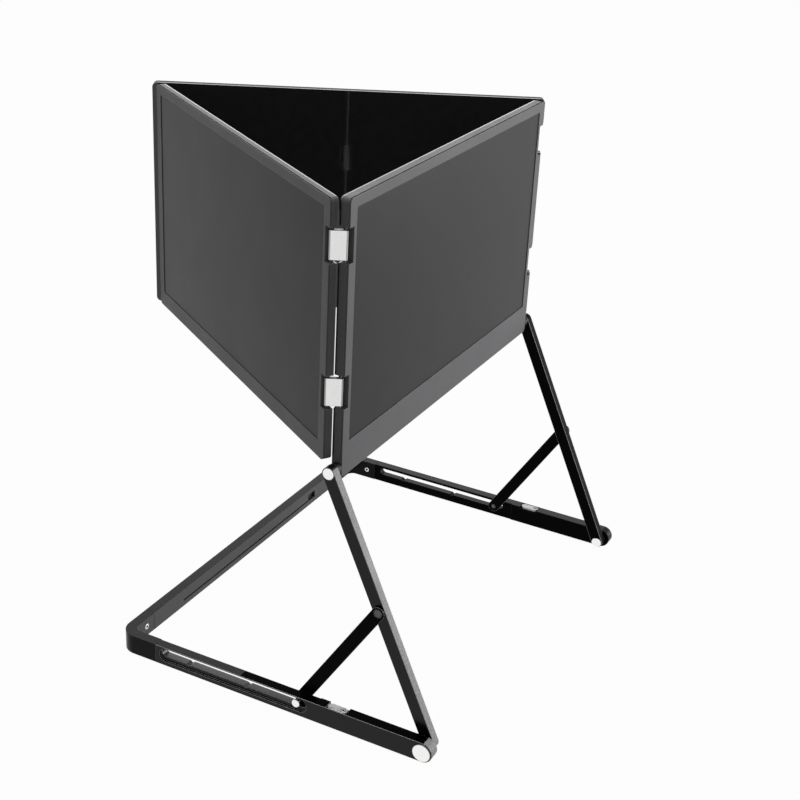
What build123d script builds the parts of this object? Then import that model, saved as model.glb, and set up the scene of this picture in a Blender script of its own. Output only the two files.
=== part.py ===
from build123d import *
import math
import os

# Laptop screen extender: three thin screens hinged in a chain on a folding, height-adjustable stand.
# Millimetres. X runs along the centre screen, Y from its display to the back, Z up, table at Z = 0.
# "near" is the -X side, "far" the +X side. The origin is under the middle of the crossbar.

# ---- screens ----
ACTIVE_W = 344.2
ACTIVE_H = 193.6
SIDE_BEZEL = 10.4
TOP_BEZEL = 8.6
SIDE_CHIN = 14.4
CENTRE_CHIN = 29.0
CENTRE_T = 9.4
SIDE_T = 7.4
COVER_T = 1.4
CORNER_R = 4.5
WINDOW_R = 1.0
LIP_T = 0.6
SEAM_AT = 0.6
SEAM_W = 0.8
SEAM_D = 0.6
SEAT = 2.0
SEAT_FIT = 0.2
DISPLAY_T = 1.4
BACKLIGHT_T = 1.6
BOARD_T = 1.2
BOARD_L = 90.0
BOARD_W = 40.0
BOARD_EDGE = 25.0
BOARD_UP = 5.0
SCREEN_W = ACTIVE_W + 2 * SIDE_BEZEL
SIDE_H = TOP_BEZEL + ACTIVE_H + SIDE_CHIN
CENTRE_H = TOP_BEZEL + ACTIVE_H + CENTRE_CHIN

# ---- hinges between the screens ----
LINK_PITCH = 10.5
LINK_R = 2.0
LINK_CORNER = 1.2
LINK_H = 24.0
PIN_R = 1.0
PIN_GRIP = 4.0
RUN_CLR = 0.05
CENTRE_INSET = 2.0
SIDE_INSET = 3.6
NOTCH_H = 28.5
CENTRE_NOTCH = 6.5
SIDE_NOTCH = 7.0
HINGE_FROM_TOP = 37.0
HINGE_FROM_BOTTOM = 59.0
LEFT_FOLD = 123.7
LEFT_SHARE = 0.5
RIGHT_SHARE = 0.125
CLOSE_GAP = 0.6

# ---- stand ----
PAD_PROUD = 0.5
PAD_T = 1.5
RAIL_H = 18.6
RAIL_W = 9.3
BAR_T = 9.4
BASE_DEPTH = 306.6
STRUT_L = 245.1
STRUT_W = 11.4
STRUT_T = 8.0
STRUT_ANGLE = 65.2
STRUT_GAP = 5.7
LIFT_DOWN = 64.0
BRACE_L = 129.9
BRACE_W = 11.6
BRACE_T = 2.0
BRACE_ANGLE = 57.6
BRACE_RATIO = 1.8931
LAYER_GAP = 0.45
TILT_UP = 7.75
CORNER_ARM = 40.5
CORNER_OUT_R = 16.0
CORNER_IN_R = 7.0
PROUD = 0.8
FRONT_STEP = 101.0
TENON_L = 22.0
TENON_T = 4.6
TENON_H = 11.0

# ---- pins, screws and small pieces ----
CLR = 0.3
FOOT_R = 3.0
FOOT_HEAD_R = 8.5
FOOT_HEAD_T = 1.1
FOOT_END_R = 5.0
FOOT_END_T = 1.0
AXLE_R = 2.0
TUBE_R = 3.0
HUB_R = 5.0
CAP_R = 4.9
CAP_T = 1.3
CAP_PROUD = 0.1
RIVET_R = 2.5
RIVET_HEAD_R = 3.4
RIVET_HEAD_T = 0.8
RIVET_FLOOR = 1.0
SLIDER_R = 2.0
SLIDER_HEAD_R = 3.7
SLIDER_HEAD_T = 1.4
POCKET_DEPTH = 2.0
POCKET_UP = 4.2
SLOT_CLR = 0.4
SLOT_FRONT = 9.5
SLOT_BACK = 7.5
SEAT_LENGTH = 2.6
NOTCH_FROM_FOOT = (171.7, 232.1)
NOTCH_W = 5.0
NOTCH_D = 1.6
SCREW_AT = 30.0
SCREW_R = 1.5
SCREW_HEAD_R = 2.7
SCREW_HEAD_T = 1.2
LATCH_FROM_FOOT = 76.8
LATCH_W = 7.8
LATCH_REACH = 14.5
LATCH_T = 2.4
LATCH_SIDE = 0.9
LATCH_SCREW_R = 1.5
LATCH_SCREW_L = 6.0
LATCH_HEAD_R = 2.2
LATCH_HEAD_T = 0.8
GROOVE_HALF = 121.0
GROOVE_UP = 5.7
GROOVE_H = 1.2
GROOVE_D = 3.0
PORT_X = (107.0, 120.0)
PORT_UP = (6.9, 13.0)
STRIP_L = 300.0
STRIP_W = 6.0
PAD_L = 22.0
PAD_INSET = 1.5
PAD_FROM_FOOT = 2.0
PATH_STEPS = 64

# ---- places worked out from the sizes ----
RAIL_BOTTOM = PAD_PROUD
RAIL_TOP = RAIL_BOTTOM + RAIL_H
BAR_BACK = BAR_T / 2
BAR_FRONT = -BAR_T / 2
FOOT_Y = BAR_BACK - BASE_DEPTH
FOOT_Z = RAIL_BOTTOM + RAIL_H / 2
STRUT_IN = SCREEN_W / 2 + STRUT_GAP
STRUT_OUT = STRUT_IN + STRUT_T
BRACE_IN = STRUT_OUT + LAYER_GAP
BRACE_OUT = BRACE_IN + BRACE_T
RAIL_IN = BRACE_OUT + LAYER_GAP
RAIL_OUT = RAIL_IN + RAIL_W
PROUD_IN = RAIL_IN - PROUD
JOINT_Y = BAR_BACK - CORNER_ARM
JOINT_X = RAIL_OUT - CORNER_ARM
TILT_Y = FOOT_Y + STRUT_L * math.cos(math.radians(STRUT_ANGLE))
TILT_Z = FOOT_Z + STRUT_L * math.sin(math.radians(STRUT_ANGLE))
CENTRE_Y = TILT_Y - CENTRE_T / 2
CENTRE_Z = TILT_Z - TILT_UP
TOP_Z = CENTRE_Z + CENTRE_H
SIDE_Z = TOP_Z - SIDE_H


def turned(length, angle):
    """(y, z) of a length laid at an angle above +Y."""
    return length * math.cos(math.radians(angle)), length * math.sin(math.radians(angle))


def middle_pivot(lift=0.0):
    """Pivot of the brace on the strut, for the strut lowered by -lift degrees."""
    y, z = turned(STRUT_L / 2, STRUT_ANGLE + lift)
    return FOOT_Y + y, FOOT_Z + z


def slider_pin(lift=0.0):
    """Centre of the sliding pin at the brace's foot."""
    y, z = middle_pivot(lift)
    dy, dz = turned(BRACE_L, -BRACE_ANGLE + lift - BRACE_RATIO * lift)
    return y + dy, z + dz


PIN_PATH = [slider_pin(-LIFT_DOWN * step / PATH_STEPS) for step in range(PATH_STEPS + 1)]
PIN_Y0, PIN_Z0 = PIN_PATH[0]
PIN_Y1 = max(y for y, z in PIN_PATH)
PIN_LOW = min(z for y, z in PIN_PATH)
PIN_HIGH = max(z for y, z in PIN_PATH)


def hinge_pins(side, fold, share):
    """(x, y) of both pins of a hinge and the link's turn, for a screen folded back by fold."""
    turn = side * fold * share
    x0 = side * (SCREEN_W / 2 - CENTRE_INSET)
    dx, dy = turned(LINK_PITCH, fold * share)
    return (x0, TILT_Y), (x0 + side * dx, TILT_Y + dy), turn


def side_screen(side, fold, share):
    """Location of a folding screen whose own frame has X along its width and Y to its cover."""
    pin = hinge_pins(side, fold, share)[1]
    pin_u = SIDE_INSET if side > 0 else SCREEN_W - SIDE_INSET
    return Pos(pin[0], pin[1], SIDE_Z) * Rot(0, 0, side * fold) * Pos(-pin_u, -SIDE_T / 2, 0)


def side_point(side, fold, share, u, t):
    """(x, y) of a point of a folding screen, u from its hinge edge and t from its display."""
    pin = hinge_pins(side, fold, share)[1]
    angle = math.radians(side * fold)
    x = side * (u - SIDE_INSET)
    y = t - SIDE_T / 2
    return (
        pin[0] + x * math.cos(angle) - y * math.sin(angle),
        pin[1] + x * math.sin(angle) + y * math.cos(angle),
    )


def closing_gap(fold):
    """Gap between the left screen's free end and the right screen's cover."""
    end = side_point(-1, LEFT_FOLD, LEFT_SHARE, SCREEN_W, SIDE_T)
    back = side_point(1, fold, RIGHT_SHARE, 0, SIDE_T)
    angle = math.radians(fold)
    return -(end[0] - back[0]) * math.sin(angle) + (end[1] - back[1]) * math.cos(angle)


def right_fold():
    """Fold of the right screen that leaves the closing gap, found by halving."""
    low, high = 90.0, 150.0
    for _ in range(60):
        trial = (low + high) / 2
        if closing_gap(trial) > CLOSE_GAP:
            low = trial
        else:
            high = trial
    return (low + high) / 2


RIGHT_FOLD = right_fold()


# ---- plain shapes ----
def block(x0, x1, y0, y1, z0, z1):
    """Box between two corners."""
    box = Box(abs(x1 - x0), abs(y1 - y0), abs(z1 - z0))
    return Pos((x0 + x1) / 2, (y0 + y1) / 2, (z0 + z1) / 2) * box


def rod_x(x0, x1, y, z, r):
    """Cylinder along X."""
    return Pos((x0 + x1) / 2, y, z) * Rot(0, 90, 0) * Cylinder(r, abs(x1 - x0))


def rod_y(x, y0, y1, z, r):
    """Cylinder along Y."""
    return Pos(x, (y0 + y1) / 2, z) * Rot(90, 0, 0) * Cylinder(r, abs(y1 - y0))


def rod_z(x, y, z0, z1, r):
    """Cylinder along Z."""
    return Pos(x, y, (z0 + z1) / 2) * Cylinder(r, abs(z1 - z0))


def plate(u0, u1, v0, v1, t0, t1, r):
    """Upright plate with rounded corners, from depth t0 to t1 along Y."""
    sheet = extrude(RectangleRounded(u1 - u0, v1 - v0, r), t1 - t0)
    return Pos((u0 + u1) / 2, t1, (v0 + v1) / 2) * Rot(90, 0, 0) * sheet


def bar_x(x0, x1, y, z, length, angle, width):
    """Round-ended bar in a plane of constant X, from (y, z) at an angle above +Y."""
    dy, dz = turned(1.0, angle)
    plane = Plane(origin=(min(x0, x1), y, z), x_dir=(0, dy, dz), z_dir=(1, 0, 0))
    outline = plane.location * Pos(length / 2, 0) * SlotCenterToCenter(length, width)
    return extrude(outline, abs(x1 - x0))


def wedge_x(x0, x1, y, z, width, depth):
    """V-shaped prism along X with its open side at z and its point below."""
    points = [(y - width / 2, z), (y + width / 2, z), (y, z - depth)]
    plane = Plane(origin=(min(x0, x1), 0, 0), x_dir=(0, 1, 0), z_dir=(1, 0, 0))
    outline = plane.location * make_face(Polyline(*points, close=True).edges())
    return extrude(outline, abs(x1 - x0))


# ---- screens ----
def hinge_heights(height):
    """Middle heights of the two hinge notches on a screen of a given height."""
    lower = height - SIDE_H + HINGE_FROM_BOTTOM
    return lower, height - HINGE_FROM_TOP


def cut_notches(body, height, thickness, ends, depth):
    """Takes the hinge notches out of the listed end edges."""
    for end in ends:
        u0 = -1.0 if end == 0 else SCREEN_W - depth
        u1 = depth if end == 0 else SCREEN_W + 1.0
        for v in hinge_heights(height):
            body -= block(u0, u1, -1, thickness + 1, v - NOTCH_H / 2, v + NOTCH_H / 2)
    return body


def notch_pins(height, thickness, ends, inset):
    """Hinge pins standing in the notches of the listed end edges."""
    pins = []
    for end in ends:
        u = inset if end == 0 else SCREEN_W - inset
        for v in hinge_heights(height):
            reach = NOTCH_H / 2 + PIN_GRIP
            pins.append(rod_z(u, thickness / 2, v - reach, v + reach, PIN_R))
    return pins


def seam(height):
    """Shadow groove round the outside of a frame, behind its front sheet."""
    t0, t1 = SEAM_AT, SEAM_AT + SEAM_W
    outside = block(-1, SCREEN_W + 1, t0, t1, -1, height + 1)
    return outside - plate(SEAM_D, SCREEN_W - SEAM_D, SEAM_D, height - SEAM_D, t0, t1, CORNER_R - SEAM_D)


def screen_frame(height, thickness, chin, ends, depth, inset):
    """Bezel frame: lip round the window, seat for the display, solid hinge edges."""
    body = plate(0, SCREEN_W, 0, height, 0, thickness - COVER_T, CORNER_R)
    body -= plate(SIDE_BEZEL, SCREEN_W - SIDE_BEZEL, chin, chin + ACTIVE_H, -1, thickness, WINDOW_R)
    left, right = SIDE_BEZEL - SEAT, SCREEN_W - SIDE_BEZEL + SEAT
    body -= block(left, right, LIP_T, thickness, chin - SEAT, chin + ACTIVE_H + SEAT)
    body -= seam(height)
    body = cut_notches(body, height, thickness, ends, depth)
    for pin in notch_pins(height, thickness, ends, inset):
        body -= pin
    return body


def rear_cover(height, thickness, ends, depth):
    """Cover closing the back of a screen."""
    body = plate(0, SCREEN_W, 0, height, thickness - COVER_T, thickness, CORNER_R)
    return cut_notches(body, height, thickness, ends, depth)


def seated(chin, t0, t1):
    """Sheet lying in the frame's seat."""
    left = SIDE_BEZEL - SEAT + SEAT_FIT
    low = chin - SEAT + SEAT_FIT
    high = chin + ACTIVE_H + SEAT - SEAT_FIT
    return block(left, SCREEN_W - left, t0, t1, low, high)


def display(chin):
    """Display glass and panel behind the lip."""
    return seated(chin, LIP_T, LIP_T + DISPLAY_T)


def backlight(chin):
    """Backlight unit behind the display."""
    return seated(chin, LIP_T + DISPLAY_T, LIP_T + DISPLAY_T + BACKLIGHT_T)


def controller_board(chin, u0):
    """Controller board lying on the back of the backlight."""
    t0 = LIP_T + DISPLAY_T + BACKLIGHT_T
    v0 = chin + BOARD_UP
    return block(u0, u0 + BOARD_L, t0, t0 + BOARD_T, v0, v0 + BOARD_W)


def centre_frame():
    """Frame of the centre screen with the tall chin and its cross bore."""
    body = screen_frame(
        CENTRE_H, CENTRE_T, CENTRE_CHIN, (0, 1), CENTRE_NOTCH, CENTRE_INSET
    )
    body -= rod_x(-1, SCREEN_W + 1, CENTRE_T / 2, TILT_UP, TUBE_R + RUN_CLR)
    return body


# ---- screen hinges ----
def hinge_link(side, fold, share, v):
    """Plate that joins two screens, turning on one pin at each end."""
    (x0, y0), _, turn = hinge_pins(side, fold, share)
    outline = RectangleRounded(LINK_PITCH + 2 * LINK_R, 2 * LINK_R, LINK_CORNER)
    body = Pos(side * LINK_PITCH / 2, 0, -LINK_H / 2) * extrude(outline, LINK_H)
    for x in (0, side * LINK_PITCH):
        body -= rod_z(x, 0, -LINK_H, LINK_H, PIN_R + RUN_CLR)
    return Pos(x0, y0, SIDE_Z + v) * Rot(0, 0, turn) * body


# ---- stand ----
def crossbar():
    """Bar along the back with a tenon at each end, a front groove and a small pocket."""
    body = block(-JOINT_X, JOINT_X, BAR_FRONT, BAR_BACK, RAIL_BOTTOM, RAIL_TOP)
    reach = JOINT_X + TENON_L
    body += block(-reach, reach, -TENON_T / 2, TENON_T / 2, FOOT_Z - TENON_H / 2, FOOT_Z + TENON_H / 2)
    low = RAIL_BOTTOM + GROOVE_UP
    body -= block(-GROOVE_HALF, GROOVE_HALF, BAR_FRONT - 1, BAR_FRONT + GROOVE_D, low, low + GROOVE_H)
    body -= block(
        PORT_X[0], PORT_X[1], BAR_FRONT - 1, BAR_FRONT + GROOVE_D,
        RAIL_BOTTOM + PORT_UP[0] - CLR, RAIL_BOTTOM + PORT_UP[1],
    )
    body -= block(-STRIP_L / 2, STRIP_L / 2, -STRIP_W / 2, STRIP_W / 2, 0, PAD_T)
    for side in (-1, 1):
        x = side * (RAIL_OUT - SCREW_AT)
        body -= rod_y(x, -TENON_T, 0, FOOT_Z, SCREW_R)
    return body


def rail_tenon(side, clear):
    """Tenon at the back of a rail, or its socket when clear is not zero."""
    x = side * (RAIL_IN + RAIL_OUT) / 2
    half_t = TENON_T / 2 + clear
    half_h = TENON_H / 2 + clear
    return block(x - half_t, x + half_t, JOINT_Y - 1, JOINT_Y + TENON_L + clear, FOOT_Z - half_h, FOOT_Z + half_h)


def slot_cut(side):
    """Slot for the sliding pin: a through slot, an outer pocket and two V notches."""
    y0 = PIN_Y0 - SLOT_FRONT
    y1 = PIN_Y1 + SLOT_BACK
    low = PIN_LOW - SLIDER_R - SLOT_CLR
    high = PIN_HIGH + SLIDER_R + SLOT_CLR
    slot_w = high - low
    mid = (low + high) / 2
    through = bar_x(
        side * (PROUD_IN - 1), side * (RAIL_OUT + 1), y0 + slot_w / 2, mid, y1 - y0 - slot_w, 0, slot_w
    )
    seat_top = PIN_Z0 - SLIDER_R - RUN_CLR
    through -= block(
        side * PROUD_IN / 2, side * (RAIL_OUT + 2), y0 - 1, PIN_Y0 + SEAT_LENGTH, low - 1, seat_top
    )
    rim = SLIDER_HEAD_R - SLIDER_R
    pocket_low = RAIL_BOTTOM + POCKET_UP
    pocket_w = high + rim - pocket_low
    pocket = bar_x(
        side * (RAIL_OUT - POCKET_DEPTH), side * (RAIL_OUT + 1),
        y0 - rim + pocket_w / 2, pocket_low + pocket_w / 2, y1 - y0 + 2 * rim - pocket_w, 0, pocket_w,
    )
    cut = through + pocket
    for at in NOTCH_FROM_FOOT:
        cut += wedge_x(
            side * PROUD_IN / 2, side * (RAIL_OUT + 1), FOOT_Y + at, low + 0.2, NOTCH_W, NOTCH_D + 0.2
        )
    return cut


def latch_pivot(side):
    """(x, y) of a latch's screw."""
    return side * (RAIL_OUT - LATCH_SIDE - LATCH_W / 2), FOOT_Y + LATCH_FROM_FOOT


def rail(side):
    """Side rail: round front end, slot, latch recess, tenon at the back."""
    x0, x1 = side * RAIL_IN, side * RAIL_OUT
    body = rod_x(side * PROUD_IN, x1, FOOT_Y, FOOT_Z, RAIL_H / 2)
    body += block(side * PROUD_IN, x1, FOOT_Y, FOOT_Y + FRONT_STEP, RAIL_BOTTOM, RAIL_TOP)
    body += block(x0, x1, FOOT_Y + FRONT_STEP, JOINT_Y, RAIL_BOTTOM, RAIL_TOP)
    body += rail_tenon(side, 0.0)
    body -= slot_cut(side)
    px, py = latch_pivot(side)
    room = LATCH_W / 2 + CLR
    body -= block(
        px + side * room, side * (PROUD_IN - 1),
        py - room, py + LATCH_REACH + CLR, RAIL_TOP - LATCH_T, RAIL_TOP + 1,
    )
    body -= rod_z(px, py, RAIL_TOP - LATCH_T - LATCH_SCREW_L, RAIL_TOP, LATCH_SCREW_R)
    body -= rod_x(side * (PROUD_IN - 1), side * (RAIL_OUT + 1), FOOT_Y, FOOT_Z, FOOT_R)
    body -= pad(side)
    body -= rod_x(side * (PROUD_IN - 1), side * (RAIL_IN + RAIL_W / 2), BAR_BACK - SCREW_AT, FOOT_Z, SCREW_R)
    return body


def corner(side):
    """Corner piece joining a rail and the crossbar, with sockets for their tenons."""
    x_in, x_out = PROUD_IN, RAIL_OUT
    outer = Pos((JOINT_X + x_out) / 2, (JOINT_Y + BAR_BACK) / 2) * Rectangle(CORNER_ARM, CORNER_ARM)
    inner_w, inner_h = x_in - JOINT_X, BAR_FRONT - JOINT_Y
    inner = Pos(JOINT_X + inner_w / 2, JOINT_Y + inner_h / 2) * Rectangle(inner_w, inner_h)
    outline = outer - inner
    far_point = outline.vertices().sort_by(lambda v: v.X + v.Y)[-1]
    outline = fillet(far_point, CORNER_OUT_R)
    near_point = outline.vertices().sort_by(lambda v: abs(v.X - x_in) + abs(v.Y - BAR_FRONT))[0]
    outline = fillet(near_point, CORNER_IN_R)
    body = Pos(0, 0, RAIL_BOTTOM) * extrude(outline, RAIL_H)
    body -= rail_tenon(1, RUN_CLR)
    half_t = TENON_T / 2 + RUN_CLR
    half_h = TENON_H / 2 + RUN_CLR
    body -= block(
        JOINT_X - 1, JOINT_X + TENON_L + RUN_CLR, -half_t, half_t, FOOT_Z - half_h, FOOT_Z + half_h
    )
    for screw in corner_screw_pair(1):
        body -= screw
    if side < 0:
        body = mirror(body, Plane.YZ)
    return body


def corner_screw_pair(side):
    """Two countersunk screws on the inside of a corner, one into each tenon."""
    y = BAR_BACK - SCREW_AT
    x = side * (RAIL_OUT - SCREW_AT)
    inner = rod_x(side * PROUD_IN, side * (PROUD_IN + SCREW_HEAD_T), y, FOOT_Z, SCREW_HEAD_R)
    inner += rod_x(side * PROUD_IN, side * (RAIL_IN + RAIL_W / 2), y, FOOT_Z, SCREW_R)
    back = rod_y(x, BAR_FRONT, BAR_FRONT + SCREW_HEAD_T, FOOT_Z, SCREW_HEAD_R)
    back += rod_y(x, BAR_FRONT, 0, FOOT_Z, SCREW_R)
    return [inner, back]


def strut(side):
    """Leaning leg from the rail's front end to the centre screen's lower corner."""
    x0, x1 = side * STRUT_IN, side * STRUT_OUT
    body = bar_x(x0, x1, FOOT_Y, FOOT_Z, STRUT_L, STRUT_ANGLE, STRUT_W)
    body -= rod_x(x0 - side, x1 + side, FOOT_Y, FOOT_Z, FOOT_R + RUN_CLR)
    body -= rod_x(x0 - side, x1 + side, TILT_Y, TILT_Z, AXLE_R)
    body -= rod_x(x1 - side * (CAP_T - CAP_PROUD), x1 + side, TILT_Y, TILT_Z, CAP_R)
    y, z = middle_pivot()
    body -= rod_x(x0 + side * RIVET_FLOOR, x1 + side, y, z, RIVET_R)
    return body


def brace(side):
    """Thin stay from the middle of the strut down to the slot in the rail."""
    y, z = middle_pivot()
    x0, x1 = side * BRACE_IN, side * BRACE_OUT
    body = bar_x(x0, x1, y, z, BRACE_L, -BRACE_ANGLE, BRACE_W)
    body -= rod_x(x0 - side, x1 + side, y, z, RIVET_R + RUN_CLR)
    body -= rod_x(x1 - side * (RIVET_HEAD_T + CLR), x1 + side, y, z, RIVET_HEAD_R + CLR)
    body -= rod_x(x0 - side, x1 + side, PIN_Y0, PIN_Z0, SLIDER_R)
    return body


def middle_rivet(side):
    """Rivet in the strut with its head sunk in the brace."""
    y, z = middle_pivot()
    body = rod_x(side * (STRUT_IN + RIVET_FLOOR), side * BRACE_OUT, y, z, RIVET_R)
    body += rod_x(side * (BRACE_OUT - RIVET_HEAD_T), side * BRACE_OUT, y, z, RIVET_HEAD_R)
    return body


def slider_pin_piece(side):
    """Pin at the brace's foot with a head that runs in the rail's outer pocket."""
    head = RAIL_OUT - POCKET_DEPTH + CLR
    body = rod_x(side * BRACE_IN, side * head, PIN_Y0, PIN_Z0, SLIDER_R)
    body += rod_x(side * head, side * (head + SLIDER_HEAD_T), PIN_Y0, PIN_Z0, SLIDER_HEAD_R)
    return body


def foot_pin(side):
    """Pivot through the rail's front end and the strut, with a broad cap outside."""
    end = STRUT_IN - CLR
    body = rod_x(side * end, side * RAIL_OUT, FOOT_Y, FOOT_Z, FOOT_R)
    body += rod_x(side * RAIL_OUT, side * (RAIL_OUT + FOOT_HEAD_T), FOOT_Y, FOOT_Z, FOOT_HEAD_R)
    body += rod_x(side * end, side * (end - FOOT_END_T), FOOT_Y, FOOT_Z, FOOT_END_R)
    return body


def foot_spacer(side):
    """Bush between the rail and the strut."""
    x0, x1 = side * (STRUT_OUT + CLR), side * PROUD_IN
    return rod_x(x0, x1, FOOT_Y, FOOT_Z, STRUT_W / 2 - CLR) - rod_x(x0, x1, FOOT_Y, FOOT_Z, FOOT_R)


def tilt_axle():
    """Round axle keyed into the tops of both struts."""
    end = STRUT_OUT - CAP_T + CAP_PROUD
    return rod_x(-end, end, TILT_Y, TILT_Z, AXLE_R)


def axle_cap(side):
    """Bright disc closing the axle's end."""
    x0 = side * (STRUT_OUT - CAP_T + CAP_PROUD)
    return rod_x(x0, side * (STRUT_OUT + CAP_PROUD), TILT_Y, TILT_Z, CAP_R)


def friction_tube():
    """Tube on the axle that carries the centre screen."""
    end = STRUT_IN - CLR
    return rod_x(-end, end, TILT_Y, TILT_Z, TUBE_R) - rod_x(-end, end, TILT_Y, TILT_Z, AXLE_R + RUN_CLR)


def friction_hub(side):
    """Hub on the tube between the screen's edge and the strut."""
    x0, x1 = side * (SCREEN_W / 2 + CLR), side * (STRUT_IN - CLR)
    return rod_x(x0, x1, TILT_Y, TILT_Z, HUB_R) - rod_x(x0, x1, TILT_Y, TILT_Z, TUBE_R)


def latch(side):
    """Swing plate that turns inwards over the folded strut."""
    x, y = latch_pivot(side)
    length = LATCH_REACH - LATCH_W / 2
    outline = Pos(x, y + length / 2) * Rot(0, 0, 90) * SlotCenterToCenter(length, LATCH_W)
    body = Pos(0, 0, RAIL_TOP - LATCH_T + RUN_CLR) * extrude(outline, LATCH_T - RUN_CLR)
    body -= rod_z(x, y, RAIL_BOTTOM, RAIL_TOP + 1, LATCH_SCREW_R + RUN_CLR)
    body -= rod_z(x, y, RAIL_TOP - LATCH_HEAD_T - RUN_CLR, RAIL_TOP + 1, LATCH_HEAD_R + CLR)
    return body


def latch_screw(side):
    """Shoulder screw that a latch turns on."""
    x, y = latch_pivot(side)
    low = RAIL_TOP - LATCH_T - LATCH_SCREW_L
    body = rod_z(x, y, low, RAIL_TOP - LATCH_HEAD_T, LATCH_SCREW_R)
    return body + rod_z(x, y, RAIL_TOP - LATCH_HEAD_T, RAIL_TOP, LATCH_HEAD_R)


def grip_strip():
    """Rubber strip in the underside of the crossbar."""
    return block(-STRIP_L / 2, STRIP_L / 2, -STRIP_W / 2, STRIP_W / 2, 0, PAD_T)


def pad(side):
    """Rubber pad under a rail's front end."""
    x0, x1 = side * (RAIL_IN + PAD_INSET), side * (RAIL_OUT - PAD_INSET)
    y0 = FOOT_Y + PAD_FROM_FOOT
    return block(x0, x1, y0, y0 + PAD_L, 0, PAD_T)


# ---- the whole object ----
def screen_nodes(name, place, height, thickness, chin, ends, depth, inset, board_u):
    """All pieces of one screen, in place."""
    if name == "centre":
        frame = centre_frame()
    else:
        frame = screen_frame(height, thickness, chin, ends, depth, inset)
    return {
        f"{name}_frame": [place * frame],
        f"{name}_display": [place * display(chin)],
        f"{name}_backlight": [place * backlight(chin)],
        f"{name}_rear_cover": [place * rear_cover(height, thickness, ends, depth)],
        f"{name}_board": [place * controller_board(chin, board_u)],
        f"{name}_hinge_pins": [place * pin for pin in notch_pins(height, thickness, ends, inset)],
    }


def all_nodes():
    """Name and solids of every node."""
    nodes = {}
    centre = Pos(-SCREEN_W / 2, CENTRE_Y, CENTRE_Z)
    middle_u = (SCREEN_W - BOARD_L) / 2
    nodes.update(screen_nodes(
        "centre", centre, CENTRE_H, CENTRE_T, CENTRE_CHIN, (0, 1), CENTRE_NOTCH, CENTRE_INSET, middle_u
    ))
    left = side_screen(-1, LEFT_FOLD, LEFT_SHARE)
    left_u = SCREEN_W - BOARD_EDGE - BOARD_L
    nodes.update(screen_nodes(
        "left", left, SIDE_H, SIDE_T, SIDE_CHIN, (1,), SIDE_NOTCH, SIDE_INSET, left_u
    ))
    right = side_screen(1, RIGHT_FOLD, RIGHT_SHARE)
    nodes.update(screen_nodes(
        "right", right, SIDE_H, SIDE_T, SIDE_CHIN, (0,), SIDE_NOTCH, SIDE_INSET, BOARD_EDGE
    ))
    low, high = hinge_heights(SIDE_H)
    for word, v in (("lower", low), ("upper", high)):
        nodes[f"left_link_{word}"] = [hinge_link(-1, LEFT_FOLD, LEFT_SHARE, v)]
        nodes[f"right_link_{word}"] = [hinge_link(1, RIGHT_FOLD, RIGHT_SHARE, v)]
    for word, side in (("near", -1), ("far", 1)):
        nodes[f"rail_{word}"] = [rail(side)]
        nodes[f"corner_{word}"] = [corner(side)]
        nodes[f"foot_pin_{word}"] = [foot_pin(side)]
        nodes[f"foot_spacer_{word}"] = [foot_spacer(side)]
        nodes[f"strut_{word}"] = [strut(side)]
        nodes[f"brace_{word}"] = [brace(side)]
        nodes[f"middle_rivet_{word}"] = [middle_rivet(side)]
        nodes[f"slider_pin_{word}"] = [slider_pin_piece(side)]
        nodes[f"friction_hub_{word}"] = [friction_hub(side)]
        nodes[f"latch_{word}"] = [latch(side)]
        nodes[f"pad_{word}"] = [pad(side)]
    nodes["crossbar"] = [crossbar()]
    nodes["corner_screws"] = corner_screw_pair(-1) + corner_screw_pair(1)
    nodes["latch_screws"] = [latch_screw(-1), latch_screw(1)]
    nodes["axle_caps"] = [axle_cap(-1), axle_cap(1)]
    nodes["tilt_axle"] = [tilt_axle()]
    nodes["friction_tube"] = [friction_tube()]
    nodes["grip_strip"] = [grip_strip()]
    return nodes


def write_nodes():
    """Writes one STEP file per node."""
    os.makedirs("parts", exist_ok=True)
    for name, solids in all_nodes().items():
        pieces = [solid for shape in solids for solid in shape.solids()]
        whole = pieces[0] if len(pieces) == 1 else Compound(children=pieces)
        export_step(whole, f"parts/{name}.step")


if __name__ == "__main__":
    write_nodes()
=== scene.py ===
"""Looks of a laptop screen extender: three thin screens hinged in a chain on a folding stand.

Sizes are in millimetres in the part's own frame, and meshes are written in metres.
X runs along the centre screen, Y from its display to the back and Z up. "near" is the -X side.
"""

import sys
import logging
import math
from dataclasses import dataclass, replace
from enum import Enum
from functools import cache

import bmesh
import bpy
import numpy as np
from mathutils import Matrix


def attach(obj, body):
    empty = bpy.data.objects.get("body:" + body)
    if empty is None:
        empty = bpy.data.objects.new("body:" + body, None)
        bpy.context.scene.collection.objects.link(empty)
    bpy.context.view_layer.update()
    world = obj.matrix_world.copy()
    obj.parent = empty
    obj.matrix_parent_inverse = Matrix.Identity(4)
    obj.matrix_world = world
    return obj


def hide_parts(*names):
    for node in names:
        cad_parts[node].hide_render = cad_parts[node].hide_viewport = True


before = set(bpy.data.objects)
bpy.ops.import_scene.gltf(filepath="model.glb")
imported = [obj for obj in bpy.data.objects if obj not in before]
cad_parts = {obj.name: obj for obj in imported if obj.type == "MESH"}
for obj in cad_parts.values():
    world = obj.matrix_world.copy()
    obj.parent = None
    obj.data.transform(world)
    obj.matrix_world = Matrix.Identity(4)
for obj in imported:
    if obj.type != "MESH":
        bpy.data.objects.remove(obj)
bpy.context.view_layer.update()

Tree = bpy.types.NodeTree
Socket = bpy.types.NodeSocket
Material = bpy.types.Material
Triple = tuple[float, float, float]
Box = tuple[Triple, Triple]
Profile = list[tuple[float, float]]

MM = 0.001
ZERO: Triple = (0.0, 0.0, 0.0)
SIDES = {"near": -1, "far": 1}
log = logging.getLogger("screen_extender")

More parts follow.
